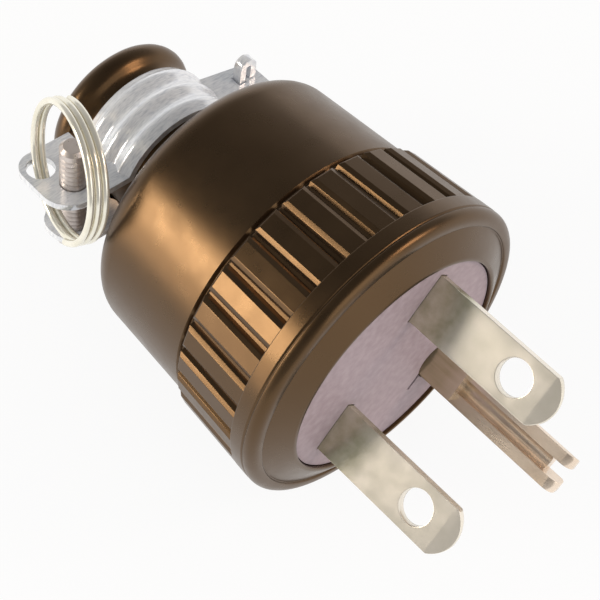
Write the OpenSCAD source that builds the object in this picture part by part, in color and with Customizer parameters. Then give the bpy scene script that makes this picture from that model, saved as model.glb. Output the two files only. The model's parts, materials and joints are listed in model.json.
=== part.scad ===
// Straight rubber power plug with two blades in line, a U-section earth pin,
// a two-strap cord clamp on the neck and a split ring in one clamp ear.
// The pieces are drawn about the plug's own axis: Z runs forward out of the
// face, Y runs along the clamp screw and X towards the clamp's hook.
// The plug then lies down on its side, with the centre of its face at the origin.

/* [Front face] */
// Radius of the insulating disc that covers the terminals
disc_r = 13.6; // [12.8:0.1:14.2]
// Thickness of the insulating disc
disc_t = 1; // [0.6:0.1:1.6]
// Gap left round the insulating disc and at its slots
disc_fit = 0.1; // [0.05:0.01:0.3]
// Height of the rubber rim in front of the disc
rim_h = 0.4; // [0.2:0.05:1]
// Width of the flat top of the rim
rim_w = 0.4; // [0.2:0.1:0.8]
// Radius of the fine crease at the foot of the front bevel
crease_r = 17; // [16:0.1:17.4]
// Depth of that crease behind the disc face
crease_d = 1.2; // [1.1:0.05:1.5]
// Depth of the flat front lip outside the crease
lip_d = 0.95; // [0.8:0.05:1.05]
// Rounding of the lip's outer edge
lip_round = 0.6; // [0.4:0.05:0.8]

/* [Grip] */
// Radius of the collar, the widest circle of the plug
collar_r = 18.6; // [18.3:0.1:20]
// Depth of the collar's widest circle behind the face
collar_d = 2.7; // [2.6:0.1:3.2]
// Distance of the fine parting groove behind the face
parting_d = 2.35; // [2.2:0.05:2.4]
// Half the width of the parting groove
parting_w = 0.2; // [0.1:0.02:0.24]
// Depth of the parting groove
parting_depth = 0.25; // [0.1:0.05:0.4]
// Depth behind the face at which the ribs start
rib_front_d = 4.3; // [3.6:0.1:6]
// Depth behind the face at which the ribs end
rib_back_d = 13.4; // [11:0.1:15]
// Number of ribs round the grip
rib_count = 30; // [24:1:32]
// Turn of the ribs about the plug's axis, in degrees
rib_turn = 8; // [0:0.5:12]
// Width of a rib's flat top
rib_w = 2.65; // [2:0.05:2.8]
// Width of a rib's sloping flank
rib_flank = 0.3; // [0.1:0.05:0.4]
// Depth of the gaps between the ribs
rib_depth = 0.7; // [0.4:0.05:1]
// Taper of the grip towards the rear, in degrees
grip_taper = 4; // [0:0.5:6]
// Drop of the rib tops below the collar's cone
rib_drop = 0.05; // [0.03:0.01:0.1]

/* [Rear body] */
// Width of the groove between the ribs and the rear body
waist_w = 0.7; // [0.4:0.1:1]
// Depth of that groove below the rib gaps
waist_depth = 0.35; // [0.2:0.05:0.6]
// Depth of the rear body's surface below the rib tops
body_step = 0.68; // [0.4:0.02:1]
// Taper of the rear body, in degrees
body_taper = 3.4; // [0:0.2:6]
// Depth of the rear end of the body behind the face
body_back_d = 29.4; // [26:0.1:31]
// Rounding of the rear shoulder
shoulder_r = 3.2; // [2:0.1:5]

/* [Neck] */
// Radius of the neck under the cord clamp
neck_r = 7.5; // [7:0.1:8.5]
// Rounding where the neck meets the body
neck_fillet = 1; // [0.5:0.1:1.6]
// Radius of the bead at the end of the neck
bead_r = 9.2; // [8.8:0.1:10]
// Length of the bead along the axis
bead_len = 4.2; // [3.6:0.1:5]
// Rounding of the bead
bead_round = 1.7; // [1:0.1:1.8]
// Gap between the clamp straps and the bead
bead_gap = 0.3; // [0.3:0.1:3]
// Radius of the cord bore
cord_r = 5.2; // [4:0.1:5.4]

/* [Wiring pocket] */
// Radius of the pocket behind the disc
pocket_r = 12.7; // [12.4:0.1:13.1]
// Depth of the pocket's floor behind the face
pocket_d = 15; // [14.5:0.1:16]

/* [Blades] */
// Turn of the contacts about the plug's axis, from the clamp's hook
contact_turn = 52; // [0:1:90]
// Offset of the contacts along the blades' line
contact_shift = 0.3; // [0:0.05:0.4]
// Width of a blade
blade_w = 5.8; // [5.4:0.05:6.4]
// Thickness of a blade
blade_t = 1.2; // [1:0.02:1.6]
// Distance between the middles of the two blades
blade_pitch = 16.75; // [16.5:0.01:17]
// Distance of the blades' common plane from the plug's axis
blade_line = 3.2; // [2.6:0.1:3.6]
// Length of a blade in front of the face
blade_len = 17.3; // [15:0.1:20]
// Radius of the rounded blade tip
blade_tip_r = 3.4; // [3.3:0.1:6]
// Length of the bevel at the blade tip
blade_bevel_len = 1.9; // [1:0.1:2.5]
// Depth of that bevel into each side
blade_bevel = 0.35; // [0.1:0.05:0.45]
// Radius of the hole in a blade
blade_hole_r = 1.95; // [1.6:0.05:2.2]
// Distance of that hole from the face
blade_hole_d = 12.1; // [10:0.1:12.5]
// Depth of a blade's root in the rubber behind the pocket
root_d = 6; // [4:0.5:8]
// Gap round a root in its rubber slot
root_fit = 0.08; // [0.05:0.01:0.2]

/* [Earth pin] */
// Distance of the pin's middle from the blades' plane
earth_offset = 12.4; // [12:0.1:12.6]
// Width of the folded pin
earth_w = 4.6; // [4.2:0.1:4.8]
// Height of its rails above its middle
earth_rail_h = 0.4; // [0.2:0.1:0.8]
// Wall of the folded pin
earth_wall = 1.35; // [1:0.05:1.6]
// Length of the pin in front of the face
earth_len = 18.8; // [17.5:0.1:22]
// Length of the split at the tip
earth_split = 2.3; // [1.5:0.1:4]
// Length of the solid block at the pin's root
earth_block_len = 4.4; // [3:0.1:7]
// Width of that block
earth_block_w = 3.7; // [3:0.1:4]
// Height of that block above the rails
earth_block_h = 1.1; // [0.6:0.1:1.3]
// Length of the slit beside the pin in the disc
slit_len = 8.2; // [6:0.1:9]
// Width of that slit
slit_w = 0.4; // [0.2:0.05:0.6]
// Rounding of the rails' tips
earth_tip_r = 1.2; // [0.6:0.1:1.3]

/* [Terminals] */
// Distance of a blade's terminal screw from the middle, along the blades
terminal_x = 8; // [7.8:0.1:8.2]
// Distance of that screw from the blade's plane, towards the earth pin
terminal_drop = 4.2; // [3.6:0.1:4.4]
// Distance of the earth screw from the middle, along the blades
earth_terminal_x = 5.6; // [5.5:0.1:6]
// Distance of the earth screw from the axis, across the blades
earth_terminal_y = 7.4; // [7:0.1:7.5]
// Width of a terminal foot
foot_w = 5; // [4.6:0.1:5.2]
// Reach of a terminal foot past its screw
foot_reach = 2.6; // [2:0.1:3]
// Radius of a terminal screw's head
terminal_head_r = 2.6; // [2:0.1:2.8]
// Height of a terminal screw's head
terminal_head_h = 2; // [1.4:0.1:2.4]
// Radius of a terminal screw's shank
terminal_r = 1.6; // [1.2:0.05:1.8]
// Length of a terminal screw's shank
terminal_len = 6; // [4:0.5:7]
// Gap round a screw in its hole
screw_fit = 0.05; // [0.03:0.01:0.1]
// Gap round a screw's end in the rubber
screw_room = 0.5; // [0.3:0.1:0.8]

/* [Cord clamp] */
// Thickness of the clamp straps
strap_t = 0.8; // [0.7:0.05:0.95]
// Length of a strap along the neck
strap_len = 7.7; // [7:0.1:8]
// Distance of the strap's front edge behind the face
strap_front_d = 33.8; // [33:0.1:34]
// Height of the pressed ridges round the straps
strap_ridge = 0.45; // [0.2:0.05:0.7]
// Number of pressed ridges
strap_ridges = 3; // [2:1:4]
// Gap between the straps and the neck
strap_fit = 0.05; // [0.03:0.01:0.15]
// Height of the ears' inner faces from the neck's middle plane
ear_gap = 2.8; // [2.2:0.1:3.2]
// Reach of the screw ears from the axis
screw_ear_x = 16.4; // [16.2:0.1:17]
// Reach of the lower screw ear from the axis
lower_ear_x = 15.4; // [15.2:0.1:16]
// Length of the lower screw ear along the neck
lower_ear_len = 6.2; // [6:0.1:6.7]
// Length of the hook ear along the neck, at its root
hook_ear_len = 7.1; // [6.8:0.1:7.4]
// Reach of the hook ear from the axis
hook_ear_x = 14.5; // [14.4:0.1:16]
// Length of the upper screw ear along the neck
screw_ear_len = 9.2; // [9:0.1:9.7]
// Rounding of the screw ear's front corner
ear_front_round = 3.4; // [2.5:0.1:3.6]
// Rounding of the screw ear's rear corner
ear_back_round = 2.3; // [1.5:0.1:2.5]
// Narrowing of the hook ear at its end, on each edge
hook_ear_taper = 1.3; // [0.4:0.1:1.5]

/* [Hook] */
// Distance of the hook's riser from the axis
hook_x = 11.4; // [11:0.1:11.6]
// Distance of the hook's middle behind the strap's front edge
hook_back = 4.3; // [3.8:0.1:4.6]
// Width of the hook along the neck
hook_w = 1.2; // [1:0.1:2]
// Height of the hook above the upper ear
hook_h = 3; // [2.5:0.1:4.5]
// Inner radius of the hook's bend
hook_bend = 0.35; // [0.3:0.05:0.5]
// Width of the lower plate's shoulders beside the hook
hook_shoulder = 1.2; // [0.6:0.1:1.6]
// Clearance of the hook in its slot
hook_fit = 0.15; // [0.1:0.05:0.3]

/* [Clamp screw] */
// Distance of the clamp screw from the axis
screw_x = 12.6; // [12.4:0.1:12.8]
// Distance of the clamp screw behind the strap's front edge
screw_back = 3.1; // [3:0.1:3.4]
// Radius of the clamp screw
screw_r = 1.5; // [1.2:0.05:1.6]
// Height of the screw's end above the upper ear
screw_end_h = 5.5; // [4:0.1:8]
// Radius of the screw's head
screw_head_r = 2.5; // [2.2:0.1:2.6]
// Height of the screw's head
screw_head_h = 1; // [0.8:0.1:1.6]
// Width of a screwdriver slot
slot_w = 0.8; // [0.6:0.1:1.2]
// Share of the head's height that the slot is cut
slot_share = 0.4; // [0.3:0.05:0.6]
// Chamfer at the screw's end
screw_chamfer = 0.4; // [0.2:0.05:0.6]

/* [Split ring] */
// Distance of the ring's hole from the axis
ring_hole_x = 14.2; // [14:0.1:14.3]
// Distance of the ring's hole behind the strap's front edge
ring_hole_back = 6.7; // [6.6:0.1:6.8]
// Radius of the ring's hole
ring_hole_r = 1.6; // [1.5:0.01:1.65]
// Mean radius of the ring
ring_r = 7.4; // [7.2:0.1:8]
// Thickness of the ring's wire
wire_d = 0.78; // [0.7:0.01:0.8]
// Gap between neighbouring turns
turn_gap = 0.02; // [0.01:0.01:0.05]
// Number of turns in the ring
ring_turns = 2.5; // [2:0.1:3]
// Angle at which the ring's wire starts, from its front
ring_start = -60; // [-100:5:-30]
// Height of the ring's middle above its hole, as an angle at the hole
ring_rise = 41; // [38:1:45]
// Turn of the ring about the hole's axis, outwards
ring_yaw = 14; // [12:1:20]
// Lean of the ring towards the neck
ring_lean = 9; // [5:0.5:12]

/* [Rest] */
// Rib that the plug lies on, counted round from the first one
rest_rib = 23; // [0:1:31]

/* [Hidden] */
$fn = 96;
rubber_colour = "#33261b";
fibre_colour = "#a5979d";
plated_colour = "#d5d6c6";
zinc_colour = "#cfd6da";
ring_colour = "#d9d2b0";
earth_screw_colour = "#4d8a54";
// Overlap of shapes that are joined or cut through
bite = 0.5;

// Radius of the grip's cone at a depth behind the face
function grip_r(d) = collar_r - (d - collar_d) * tan(grip_taper);
body_front_d = rib_back_d + waist_w;
body_front_r = grip_r(rib_back_d) - body_step;
// Radius of the rear body's cone at a depth behind the face
function body_r(d) = body_front_r - (d - body_front_d) * tan(body_taper);
// Points along an arc from one angle to another
function arc(centre, r, from, to, steps = 8) =
    [for (i = [0:steps]) let (a = from + (to - from) * i / steps) centre + r * [cos(a), sin(a)]];

seat_r = disc_r + disc_fit;
root_end_d = pocket_d + root_d;
terminal_y = blade_line - terminal_drop;
earth_y = blade_line - earth_offset;
strap_in_r = neck_r + strap_fit;
strap_back_d = strap_front_d + strap_len;
screw_d = strap_front_d + screw_back;
ring_hole_d = strap_front_d + ring_hole_back;
hook_d = strap_front_d + hook_back;
ear_top = ear_gap + strap_t;
// The ears start just outside the neck
ear_root_x = strap_in_r;
strap_out_r = strap_in_r + strap_t + strap_ridge;
neck_back_d = strap_back_d + bead_gap + bead_len;
bead_d = neck_back_d - bead_round;
// Middle of the rear shoulder's rounding
shoulder_d = body_back_d - shoulder_r;
shoulder_mid_r = body_r(shoulder_d) - shoulder_r;
// Radius of a rib's top at its rear edge
rib_back_r = grip_r(rib_back_d) - rib_drop;
// Slope of the line that touches both that edge and the rear shoulder
rest_span = norm([rib_back_r - shoulder_mid_r, shoulder_d - rib_back_d]);
rest_slope = atan((rib_back_r - shoulder_mid_r) / (shoulder_d - rib_back_d));
rest_pitch = rest_slope - asin(shoulder_r / rest_span);
// Roll that brings the chosen rib to the bottom
rest_roll = 270 - rib_turn - rest_rib * 360 / rib_count;

// Lays the plug on its side, resting on the rear edge of a rib and its rear shoulder
module laid() {
    rotate([0, -rest_pitch, 0])
        rotate([rest_roll, 0, 0])
            rotate([90, 0, 90])
                children();
}

// Frame of the contacts: X along the blades, Y away from the earth pin
module contacts() {
    rotate([0, 0, contact_turn])
        translate([contact_shift, 0, 0])
            children();
}

// Revolved section of the rubber body, as radius and height along the axis
function body_section() = concat(
    [
        [cord_r, -pocket_d],
        [pocket_r, -pocket_d],
        [pocket_r, -disc_t],
        [seat_r, -disc_t],
        [seat_r, rim_h],
        [seat_r + rim_w, rim_h],
        [crease_r, -crease_d],
        [crease_r + rim_w / 4, -lip_d]
    ],
    arc([collar_r - lip_round, -lip_d - lip_round], lip_round, 90, 0),
    [
        [collar_r, -parting_d + parting_w],
        [collar_r - parting_depth, -parting_d],
        [collar_r, -parting_d - parting_w],
        [collar_r, -collar_d],
        [grip_r(rib_front_d), -rib_front_d],
        [grip_r(rib_front_d) - rib_depth, -rib_front_d],
        [grip_r(rib_back_d) - rib_depth, -rib_back_d],
        [grip_r(rib_back_d) - rib_depth - waist_depth, -rib_back_d - waist_w / 2],
        [body_front_r - waist_depth / 2, -body_front_d + waist_w / 4],
        [body_front_r, -body_front_d]
    ],
    arc([shoulder_mid_r, -shoulder_d], shoulder_r, 0, -90),
    arc([neck_r + neck_fillet, -body_back_d - neck_fillet], neck_fillet, 90, 180),
    [[neck_r, -neck_back_d + bead_len]],
    arc([bead_r - bead_round, -bead_d], bead_round, 60, -90),
    [[cord_r, -neck_back_d]]
);

// One straight rib with a flat top, lying along the grip's cone
module rib() {
    length = (rib_back_d - rib_front_d) / cos(grip_taper) + bite;
    foot = rib_depth + bite;
    spread = rib_flank * foot / rib_depth;
    translate([rib_back_r, 0, -rib_back_d])
        rotate([0, grip_taper, 0])
            linear_extrude(length)
                polygon([
                    [0, -rib_w / 2],
                    [0, rib_w / 2],
                    [-foot, rib_w / 2 + spread],
                    [-foot, -rib_w / 2 - spread]
                ]);
}

// Outline of the earth pin's section, grown by a gap
module earth_outline(gap = 0) {
    circle(earth_w / 2 + gap);
    translate([-earth_w / 2 - gap, 0])
        square([earth_w + 2 * gap, earth_rail_h + gap]);
}

// Outline of the block at the earth pin's root, grown by a gap
module block_outline(gap = 0) {
    translate([-earth_block_w / 2 - gap, 0])
        square([earth_block_w + 2 * gap, earth_rail_h + earth_block_h + gap]);
}

// Places its children at both blades, mirrored across the middle
module at_blade(side) {
    translate([side * blade_pitch / 2, blade_line, 0])
        children();
}

// Rectangular hole for a blade, from one depth to another
module blade_slot(gap, from_d, to_d) {
    translate([-blade_w / 2 - gap, -blade_t / 2 - gap, -to_d])
        cube([blade_w + 2 * gap, blade_t + 2 * gap, to_d - from_d]);
}

module rubber_body() {
    color(rubber_colour)
        difference() {
            union() {
                rotate_extrude()
                    polygon(body_section());
                for (i = [0:rib_count - 1])
                    rotate([0, 0, rib_turn + i * 360 / rib_count])
                        rib();
            }
            contacts() {
                for (side = [-1, 1]) {
                    at_blade(side)
                        blade_slot(root_fit, pocket_d - bite, root_end_d + root_fit);
                    translate([side * terminal_x, terminal_y, -pocket_d - terminal_len])
                        cylinder(r = terminal_r + screw_room, h = terminal_len + bite);
                }
                translate([0, earth_y, -root_end_d - root_fit])
                    linear_extrude(root_d + root_fit + bite)
                        earth_outline(root_fit);
                translate([-earth_terminal_x, -earth_terminal_y, -pocket_d - terminal_len])
                    cylinder(r = terminal_r + screw_room, h = terminal_len + bite);
            }
        }
}

module insulating_disc() {
    color(fibre_colour)
        difference() {
            translate([0, 0, -disc_t])
                cylinder(r = disc_r, h = disc_t);
            contacts() {
                for (side = [-1, 1])
                    at_blade(side)
                        blade_slot(disc_fit, -bite, disc_t + bite);
                translate([0, earth_y, -disc_t - bite])
                    linear_extrude(disc_t + 2 * bite) {
                        earth_outline(disc_fit);
                        block_outline(disc_fit);
                        translate([-slit_len / 2, earth_rail_h + earth_block_h - slit_w])
                            square([slit_len, slit_w + disc_fit]);
                    }
            }
        }
}

// Foot of a contact on the pocket's floor, from an inner corner to past its screw
module terminal_foot(x, y, inner_y) {
    reach_y = y + sign(y - inner_y) * foot_reach;
    intersection() {
        translate([x - foot_w / 2, min(inner_y, reach_y), -pocket_d])
            cube([foot_w, abs(reach_y - inner_y), blade_t]);
        translate([-contact_shift, 0, -pocket_d - bite])
            cylinder(r = pocket_r - disc_fit, h = blade_t + 2 * bite);
    }
}

// Side view of a blade from root to rounded tip, as width and length
module blade_outline() {
    intersection() {
        translate([-blade_w / 2, -root_end_d])
            square([blade_w, root_end_d + blade_len]);
        union() {
            translate([0, blade_len - blade_tip_r])
                circle(blade_tip_r);
            translate([-blade_w / 2, -root_end_d])
                square([blade_w, root_end_d + blade_len - blade_tip_r]);
        }
    }
}

// Wedge that bevels one side of a blade's tip
module tip_wedge() {
    rotate([90, 0, 90])
        translate([0, 0, -blade_w])
            linear_extrude(2 * blade_w)
                polygon([
                    [blade_t / 2, blade_len - blade_bevel_len],
                    [blade_t / 2 + bite, blade_len - blade_bevel_len],
                    [blade_t / 2 + bite, blade_len + bite],
                    [blade_t / 2 - blade_bevel * (1 + bite / blade_bevel_len), blade_len + bite]
                ]);
}

module blade(side) {
    contacts()
        difference() {
            union() {
                at_blade(side)
                    difference() {
                        rotate([90, 0, 0])
                            translate([0, 0, -blade_t / 2])
                                linear_extrude(blade_t)
                                    blade_outline();
                        tip_wedge();
                        mirror([0, 1, 0])
                            tip_wedge();
                        translate([0, blade_t, blade_hole_d])
                            rotate([90, 0, 0])
                                cylinder(r = blade_hole_r, h = 2 * blade_t);
                    }
                terminal_foot(side * terminal_x, terminal_y, blade_line);
            }
            translate([side * terminal_x, terminal_y, -pocket_d - bite])
                cylinder(r = terminal_r + screw_fit, h = blade_t + 2 * bite);
        }
}

module left_blade() {
    color(plated_colour)
        blade(-1);
}

module right_blade() {
    color(plated_colour)
        blade(1);
}

// Side view of the earth pin with its rounded tip, as height and length
module earth_side() {
    low = -earth_w / 2;
    height = earth_w / 2 + earth_rail_h;
    translate([low, -root_end_d])
        square([height, root_end_d + earth_len - earth_tip_r]);
    translate([low + earth_tip_r, -root_end_d])
        square([height - 2 * earth_tip_r, root_end_d + earth_len]);
    for (y = [low + earth_tip_r, earth_rail_h - earth_tip_r])
        translate([y, earth_len - earth_tip_r])
            circle(earth_tip_r);
}

module earth_pin() {
    color(plated_colour)
        contacts()
            difference() {
                union() {
                    translate([0, earth_y, 0])
                        difference() {
                            intersection() {
                                translate([0, 0, -root_end_d])
                                    linear_extrude(root_end_d + earth_len)
                                        earth_outline();
                                rotate([90, 0, 90])
                                    translate([0, 0, -earth_w])
                                        linear_extrude(2 * earth_w)
                                            earth_side();
                            }
                            translate([0, 0, earth_block_len]) {
                                cylinder(r = earth_w / 2 - earth_wall, h = earth_len);
                                translate([-earth_w / 2 + earth_wall, 0, 0])
                                    cube([earth_w - 2 * earth_wall, earth_w, earth_len]);
                            }
                            translate([-earth_w / 2 + earth_wall, -earth_w, earth_len - earth_split])
                                cube([earth_w - 2 * earth_wall, 2 * earth_w, earth_split + bite]);
                        }
                    translate([0, earth_y, -pocket_d])
                        linear_extrude(pocket_d + earth_block_len)
                            block_outline();
                    terminal_foot(-earth_terminal_x, -earth_terminal_y, -earth_terminal_y + foot_reach);
                    earth_foot_web();
                }
                translate([-earth_terminal_x, -earth_terminal_y, -pocket_d - bite])
                    cylinder(r = terminal_r + screw_fit, h = blade_t + 2 * bite);
            }
}

// Web that carries the earth foot from the pin's rail
module earth_foot_web() {
    translate([-earth_terminal_x, -earth_terminal_y - foot_reach, -pocket_d])
        cube([earth_terminal_x - earth_w / 2 + earth_wall, 2 * foot_reach, blade_t]);
}

// Round head with a screwdriver slot, standing on Z = 0
module slotted_head(r, h) {
    difference() {
        cylinder(r1 = r, r2 = r * 0.82, h = h);
        translate([-r, -slot_w / 2, h * (1 - slot_share)])
            cube([2 * r, slot_w, h]);
    }
}

// Terminal screw: slotted head in front of its foot, shank into the rubber
module terminal_screw(x, y) {
    contacts()
        translate([x, y, -pocket_d + blade_t]) {
            slotted_head(terminal_head_r, terminal_head_h);
            translate([0, 0, -terminal_len])
                cylinder(r = terminal_r, h = terminal_len);
        }
}

module left_terminal_screw() {
    color(plated_colour)
        terminal_screw(-terminal_x, terminal_y);
}

module right_terminal_screw() {
    color(plated_colour)
        terminal_screw(terminal_x, terminal_y);
}

module earth_terminal_screw() {
    color(earth_screw_colour)
        terminal_screw(-earth_terminal_x, -earth_terminal_y);
}

// Height of the pressed ridges at a place across the strap
function ridge_at(share) = strap_ridge * (1 - cos(360 * strap_ridges * share)) / 2;

// Pressed strap bent round the neck, above the clamp's middle plane
module strap_arch() {
    steps = 8 * strap_ridges;
    shares = [for (i = [0:steps]) i / steps];
    outside = [for (s = shares) [strap_in_r + strap_t + ridge_at(s), -strap_back_d + s * strap_len]];
    inside = [for (s = shares) [strap_in_r + ridge_at(1 - s), -strap_front_d - s * strap_len]];
    reach = 2 * strap_out_r;
    intersection() {
        rotate_extrude()
            polygon(concat(outside, inside));
        translate([-reach / 2, ear_gap, -strap_back_d - bite])
            cube([reach, reach, strap_len + 2 * bite]);
    }
}

// Screw ear of a strap, seen from above, with rounded outer corners
module screw_ear_outline(reach, length) {
    front = -strap_front_d;
    back = front - length;
    difference() {
        translate([-reach, back])
            square([reach - ear_root_x, front - back]);
        translate([-reach - bite, front - ear_front_round])
            square([ear_front_round + bite, ear_front_round + bite]);
        translate([-reach - bite, back - bite])
            square([ear_back_round + bite, ear_back_round + bite]);
    }
    translate([-reach + ear_front_round, front - ear_front_round])
        circle(ear_front_round);
    translate([-reach + ear_back_round, back + ear_back_round])
        circle(ear_back_round);
}

// Turns an outline drawn from above into an ear over the clamp's middle plane
module ear_plate() {
    translate([0, ear_top, 0])
        rotate([90, 0, 0])
            linear_extrude(strap_t)
                children();
}

// Vertical hole through an ear
module ear_hole(x, d, r) {
    translate([x, ear_top + bite, -d])
        rotate([90, 0, 0])
            cylinder(r = r, h = strap_t + 2 * bite);
}

// Middle of the hook along the axis
hook_mid = -hook_d;

module upper_clamp_strap() {
    color(zinc_colour)
        difference() {
            union() {
                strap_arch();
                ear_plate()
                    screw_ear_outline(screw_ear_x, screw_ear_len);
                ear_plate()
                    polygon([
                        [ear_root_x, -strap_front_d - hook_ear_len],
                        [hook_ear_x, -strap_front_d - hook_ear_len + hook_ear_taper],
                        [hook_ear_x, -strap_front_d - hook_ear_taper],
                        [ear_root_x, -strap_front_d]
                    ]);
            }
            ear_hole(-screw_x, screw_d, screw_r + screw_fit);
            ear_hole(-ring_hole_x, ring_hole_d, ring_hole_r);
            translate([0, 0, -neck_back_d])
                cylinder(r = bead_r + hook_fit, h = neck_back_d - strap_back_d);
            translate([hook_x - hook_fit, ear_gap - bite, hook_mid - hook_w / 2 - hook_fit])
                cube([strap_t + 2 * hook_fit, strap_t + 2 * bite, hook_w + 2 * hook_fit]);
        }
}

// Lower plate that carries the hook, seen from above
module hook_plate_outline() {
    half = hook_w / 2 + hook_shoulder;
    polygon([
        [ear_root_x, -strap_back_d],
        [hook_x - strap_t, hook_mid - half],
        [hook_x + strap_t, hook_mid - half],
        [hook_x + strap_t, hook_mid + half],
        [hook_x - strap_t, hook_mid + half],
        [ear_root_x, -strap_front_d]
    ]);
}

// Half ring of the hook's bend, open downwards
module hook_bend_ring() {
    outer = hook_bend + strap_t;
    translate([0, 0, -hook_w / 2])
        linear_extrude(hook_w)
            difference() {
                circle(outer);
                circle(hook_bend);
                translate([-outer - bite, -outer - bite])
                    square([2 * outer + 2 * bite, outer + bite]);
            }
}

module lower_clamp_strap() {
    outer = hook_bend + strap_t;
    bend_y = ear_top + hook_h - outer;
    color(zinc_colour) {
        difference() {
            union() {
                mirror([0, 1, 0]) {
                    strap_arch();
                    ear_plate()
                        screw_ear_outline(lower_ear_x, lower_ear_len);
                }
                mirror([0, 1, 0])
                    ear_plate()
                        hook_plate_outline();
                translate([hook_x, -ear_top, hook_mid - hook_w / 2])
                    cube([strap_t, ear_top + bend_y, hook_w]);
                translate([hook_x + outer, bend_y, hook_mid])
                    hook_bend_ring();
                translate([hook_x + outer + hook_bend, ear_top + hook_fit, hook_mid - hook_w / 2])
                    cube([strap_t, bend_y - ear_top - hook_fit, hook_w]);
            }
            mirror([0, 1, 0])
                ear_hole(-screw_x, screw_d, screw_r + screw_fit);
        }
    }
}

module clamp_screw() {
    shank = 2 * ear_top + screw_end_h;
    color(zinc_colour)
        translate([-screw_x, -ear_top, -screw_d])
            rotate([-90, 0, 0]) {
                cylinder(r = screw_r, h = shank - screw_chamfer);
                translate([0, 0, shank - screw_chamfer])
                    cylinder(r1 = screw_r, r2 = screw_r - screw_chamfer, h = screw_chamfer);
                mirror([0, 0, 1])
                    slotted_head(screw_head_r, screw_head_h);
            }
}

// Point of the ring's wire at a turn, about the ring's own axis X
function wire_middle(turn) =
    let (a = 360 * turn + ring_start)
        [(turn - ring_turns / 2) * (wire_d + turn_gap), ring_r * sin(a), ring_r * cos(a)];

// Ring of points round the wire at a turn
function wire_ring(turn, sides) = [
    for (j = [0:sides - 1])
        let (a = 360 * j / sides, b = 360 * turn + ring_start, out = [0, sin(b), cos(b)])
            wire_middle(turn) + wire_d / 2 * (cos(a) * out + sin(a) * [1, 0, 0])
];

// Coiled wire of the split ring, about its own axis X
module ring_coil() {
    sides = 12;
    steps = round(48 * ring_turns);
    rings = [for (i = [0:steps]) wire_ring(ring_turns * i / steps, sides)];
    side_faces = [
        for (i = [0:steps - 1], j = [0:sides - 1])
            let (k = (j + 1) % sides)
                [i * sides + j, i * sides + k, (i + 1) * sides + k, (i + 1) * sides + j]
    ];
    first_cap = [for (j = [sides - 1:-1:0]) j];
    last_cap = [for (j = [0:sides - 1]) steps * sides + j];
    polyhedron(
        points = [for (ring = rings, point = ring) point],
        faces = concat(side_faces, [first_cap, last_cap])
    );
}

module split_ring() {
    color(ring_colour)
        translate([-ring_hole_x, ear_gap + strap_t / 2, -ring_hole_d])
            rotate([0, 0, -ring_lean])
                rotate([0, -ring_yaw, 0])
                    translate([0, ring_r * sin(ring_rise), ring_r * cos(ring_rise)])
                        ring_coil();
}

laid() rubber_body();
laid() insulating_disc();
laid() left_blade();
laid() right_blade();
laid() earth_pin();
laid() left_terminal_screw();
laid() right_terminal_screw();
laid() earth_terminal_screw();
laid() upper_clamp_strap();
laid() lower_clamp_strap();
laid() clamp_screw();
laid() split_ring();
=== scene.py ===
"""Looks of a rubber power plug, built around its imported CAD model.

The rubber moulding, the clamp screw and the split ring are modelled here. The
sheet-metal pieces and the face disc are copies of their CAD solids with broken
edges, and the terminal screws keep their CAD shape. Sizes are in millimetres,
about the plug's own axis: Z runs forward out of the face, Y along the clamp
screw and X towards the hook.
"""

import json
import logging
import math
from dataclasses import dataclass
from enum import Enum

import bpy
from mathutils import Matrix, Vector


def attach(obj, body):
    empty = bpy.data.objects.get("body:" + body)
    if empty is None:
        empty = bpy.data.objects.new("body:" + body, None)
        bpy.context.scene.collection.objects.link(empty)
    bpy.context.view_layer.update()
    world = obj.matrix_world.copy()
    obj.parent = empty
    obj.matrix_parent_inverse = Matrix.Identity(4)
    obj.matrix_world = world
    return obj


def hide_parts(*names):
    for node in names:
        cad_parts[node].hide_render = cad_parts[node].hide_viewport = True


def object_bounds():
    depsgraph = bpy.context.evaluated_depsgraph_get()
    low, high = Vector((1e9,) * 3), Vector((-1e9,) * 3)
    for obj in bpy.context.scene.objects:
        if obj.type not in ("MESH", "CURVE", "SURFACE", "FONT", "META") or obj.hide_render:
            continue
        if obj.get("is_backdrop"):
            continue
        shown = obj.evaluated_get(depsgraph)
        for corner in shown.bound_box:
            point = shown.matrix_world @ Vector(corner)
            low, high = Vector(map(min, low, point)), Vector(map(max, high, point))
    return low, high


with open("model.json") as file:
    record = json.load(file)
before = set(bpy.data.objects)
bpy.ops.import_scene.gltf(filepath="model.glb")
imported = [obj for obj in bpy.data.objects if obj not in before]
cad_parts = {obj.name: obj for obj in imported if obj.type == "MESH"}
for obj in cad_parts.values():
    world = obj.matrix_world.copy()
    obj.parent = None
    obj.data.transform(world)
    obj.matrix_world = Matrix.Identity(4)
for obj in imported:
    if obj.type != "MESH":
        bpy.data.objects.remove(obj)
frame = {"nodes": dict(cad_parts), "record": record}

LOG = logging.getLogger("rubber_plug")
MM = 0.001
MERGE_TURNED = 1e-7
MERGE_SOLID = 2e-6
CORNER_SHARE = 0.45
ARC_STEPS = 10
FLAT_WEIGHT = 60
MIX_FIRST = 6
MIX_SECOND = 7
MIX_RESULT = 2

Profile = list[tuple[float, float]]
Colour = tuple[float, float, float]
Socket = bpy.types.NodeSocket

WHITE: Colour = (1.0, 1.0, 1.0)
BLACK: Colour = (0.0, 0.0, 0.0)


class Body(Enum):
    """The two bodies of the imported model."""

    PLUG = "plug"
    RING = "ring"


class Slot(Enum):
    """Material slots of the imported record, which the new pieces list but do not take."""

    RUBBER = "rubber"
    FIBRE = "fibre"
    PLATED = "plated_brass"
    ZINC = "zinc_steel"
    RING = "ring_steel"


class Grain(Enum):
    """Which way a finish is drawn out, as scales along the plug's own axes."""

    EVEN = (1.0, 1.0, 1.0)
    ALONG_AXIS = (6.0, 6.0, 0.5)
    ROUND_AXIS = (1.0, 1.0, 7.0)


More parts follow.
